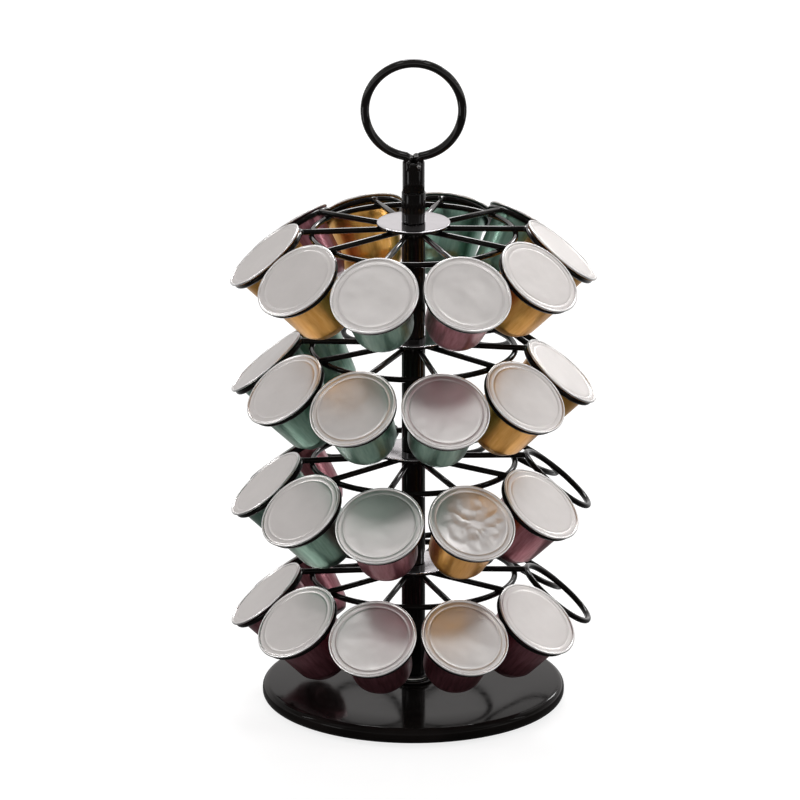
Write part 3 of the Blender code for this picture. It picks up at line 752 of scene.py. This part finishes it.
# The tent's brightness by the height of a direction, from -1 straight down to 1 straight up.
TENT_LEFT = (
    (-1, 0.5), (0.03, 0.62), (0.18, 0.6), (0.3, 0.85), (0.45, 0.58), (0.62, 0.66), (0.85, 0.55), (1, 0.35),
)
TENT_RIGHT = (
    (-1, 0.5), (0.03, 1.2), (0.18, 0.6), (0.3, 0.85), (0.45, 0.4), (0.62, 1.3), (0.85, 0.75), (1, 0.4),
)
TENT_FRONT = (
    (-1, 0.3), (0, 0.8), (0.13, 2.0), (0.24, 0.8), (0.35, 0.2), (0.5, 0.4), (0.85, 0.35), (1, 0.4),
)
TENT_STRENGTH, TENT_TINT = 2.0, (1, 0.97, 0.96)

# Lamps: place, target, size and energy.
SOFTBOXES = {
    "left_front": ((-1.4, -0.65, 1.2), (0, 0, 0.2), (0.56, 0.8), 1.5),
    "right_front": ((1.4, -0.65, 1.2), (0, 0, 0.2), (0.56, 0.8), 1.5),
    "left_low": ((-0.433, -0.25, 0.075), (0, 0, 0.23), (0.14, 0.14), 0.25),
    "right_low": ((0.45, -0.2, 0.1), (0, 0, 0.25), (0.14, 0.12), 0.1),
    "left_side": ((-1.5, 0.1, 0.9), (0, 0, 0.17), (0.08, 0.5), 2.4),
    "right_side": ((1.5, 0.1, 0.9), (0, 0, 0.17), (0.08, 0.5), 1.8),
    "right_back": ((0.75, 1.42, 0.8), (0, 0, 0.17), (0.24, 0.24), 1.9),
    "high_back": ((0, 1.1, 1.25), (0, 0, 0.17), (0.6, 0.5), 9),
    "left_top": ((-0.6, -0.6, 1.9), (0, 0, 0.12), (0.3, 0.3), 1.8),
    "right_top": ((0.6, -0.6, 1.9), (0, 0, 0.12), (0.3, 0.3), 2.2),
}

CAMERA_LENS, CAMERA_SENSOR, CAMERA_FAR = 494.6, 36, 60
CAMERA_RISE_DEG, CAMERA_REACH, CAMERA_AIM = 18.11, 4.5, (-0.00552, 0, 0.12925)


def make_floor():
    """White with soft shadows for the camera; for all else dim in front and brighter behind the stand."""
    mesh = bpy.data.meshes.new("floor")
    outline = [(x * FLOOR_REACH, y * FLOOR_REACH, 0) for x, y in ((-1, -1), (1, -1), (1, 1), (-1, 1))]
    mesh.from_pydata(outline, [], [(0, 1, 2, 3)])
    floor = bpy.data.objects.new("floor", mesh)
    bpy.context.scene.collection.objects.link(floor)
    look = Look("floor_white", Roughness=0.9)
    tree = look.tree
    look.set("Base Color", look.ramp(look.noise(3, 2), (0.3, (0.29, 0.29, 0.29)), (0.7, (0.3, 0.3, 0.3))))
    white = tree.nodes.new("ShaderNodeEmission")
    white.inputs["Strength"].default_value = FLOOR_WHITE
    both = tree.nodes.new("ShaderNodeAddShader")
    tree.links.new(white.outputs[0], both.inputs[0])
    tree.links.new(look.shader.outputs[0], both.inputs[1])
    split = tree.nodes.new("ShaderNodeSeparateXYZ")
    tree.links.new(look.place, split.inputs[0])
    sheet = tree.nodes.new("ShaderNodeEmission")
    glow = look.span(split.outputs["Y"], low=0.1, high=0.7, start=0.0, end=0.4)
    tree.links.new(glow, sheet.inputs["Strength"])
    path = tree.nodes.new("ShaderNodeLightPath")
    choose = tree.nodes.new("ShaderNodeMixShader")
    tree.links.new(path.outputs["Is Camera Ray"], choose.inputs[0])
    tree.links.new(sheet.outputs[0], choose.inputs[1])
    tree.links.new(both.outputs[0], choose.inputs[2])
    tree.links.new(choose.outputs[0], tree.nodes["Material Output"].inputs["Surface"])
    mesh.materials.append(look.material)


def make_world():
    """White for the camera; for all else a tent with bands of light, other ones left, right and in front."""
    world = bpy.data.worlds.new("studio")
    bpy.context.scene.world = world
    world.use_nodes = True
    tree = world.node_tree
    tree.nodes.clear()
    output = tree.nodes.new("ShaderNodeOutputWorld")
    white = tree.nodes.new("ShaderNodeBackground")
    tent = tree.nodes.new("ShaderNodeBackground")
    white.inputs["Color"].default_value = (1, 1, 1, 1)
    coordinate = tree.nodes.new("ShaderNodeTexCoord")
    split = tree.nodes.new("ShaderNodeSeparateXYZ")
    tree.links.new(coordinate.outputs["Generated"], split.inputs[0])

    def zone(axis, start, end, step="SMOOTHSTEP"):
        """0 up to the start along an axis of the direction, 1 from the end on."""
        change = tree.nodes.new("ShaderNodeMapRange")
        change.interpolation_type = step
        change.inputs["From Min"].default_value = start
        change.inputs["From Max"].default_value = end
        tree.links.new(split.outputs[axis], change.inputs["Value"])
        return change.outputs["Result"]

    def mixed(factor, first, second):
        made = tree.nodes.new("ShaderNodeMixRGB")
        for source, target in zip((factor, first, second), made.inputs):
            tree.links.new(source, target)
        return made.outputs[0]

    def heights(stops):
        """One side's light by height, held as a share of the tent's strength."""
        ramp = tree.nodes.new("ShaderNodeValToRGB")
        elements = ramp.color_ramp.elements
        while len(elements) < len(stops):
            elements.new(0.5)
        for element, (height, level) in zip(elements, stops):
            element.position = (height + 1) / 2
            element.color = (*(level * part / TENT_STRENGTH for part in TENT_TINT), 1)
        tree.links.new(zone("Z", -1, 1, "LINEAR"), ramp.inputs["Fac"])
        return ramp.outputs["Color"]

    left, right, front = heights(TENT_LEFT), heights(TENT_RIGHT), heights(TENT_FRONT)
    behind = mixed(zone("X", -0.4, 0.4), left, right)
    tree.links.new(mixed(zone("Y", 0.1, 0.48), front, behind), tent.inputs["Color"])
    tent.inputs["Strength"].default_value = TENT_STRENGTH
    path = tree.nodes.new("ShaderNodeLightPath")
    choose = tree.nodes.new("ShaderNodeMixShader")
    tree.links.new(path.outputs["Is Camera Ray"], choose.inputs[0])
    tree.links.new(tent.outputs[0], choose.inputs[1])
    tree.links.new(white.outputs[0], choose.inputs[2])
    tree.links.new(choose.outputs[0], output.inputs["Surface"])


def softbox(name, place, target, size, energy):
    """An area lamp at a place, aimed at a target."""
    lamp = bpy.data.lights.new(name, "AREA")
    lamp.shape = "RECTANGLE"
    lamp.size, lamp.size_y = size
    lamp.energy = energy
    made = bpy.data.objects.new(name, lamp)
    bpy.context.scene.collection.objects.link(made)
    made.location = place
    made.rotation_euler = (Vector(target) - Vector(place)).to_track_quat("-Z", "Y").to_euler()


def make_camera():
    camera = bpy.data.cameras.new("camera")
    camera.lens, camera.sensor_width, camera.clip_end = CAMERA_LENS, CAMERA_SENSOR, CAMERA_FAR
    made = bpy.data.objects.new("camera", camera)
    bpy.context.scene.collection.objects.link(made)
    rise = math.radians(CAMERA_RISE_DEG)
    back = Vector((0, -math.cos(rise), math.sin(rise)))
    made.rotation_euler = (-back).to_track_quat("-Z", "Y").to_euler()
    made.location = Vector(CAMERA_AIM) + back * CAMERA_REACH
    bpy.context.scene.camera = made


make_floor()
make_world()
for lamp_name, setting in SOFTBOXES.items():
    softbox(lamp_name, *setting)
make_camera()
bpy.context.scene.view_settings.view_transform = "Standard"

bpy.context.view_layer.update()
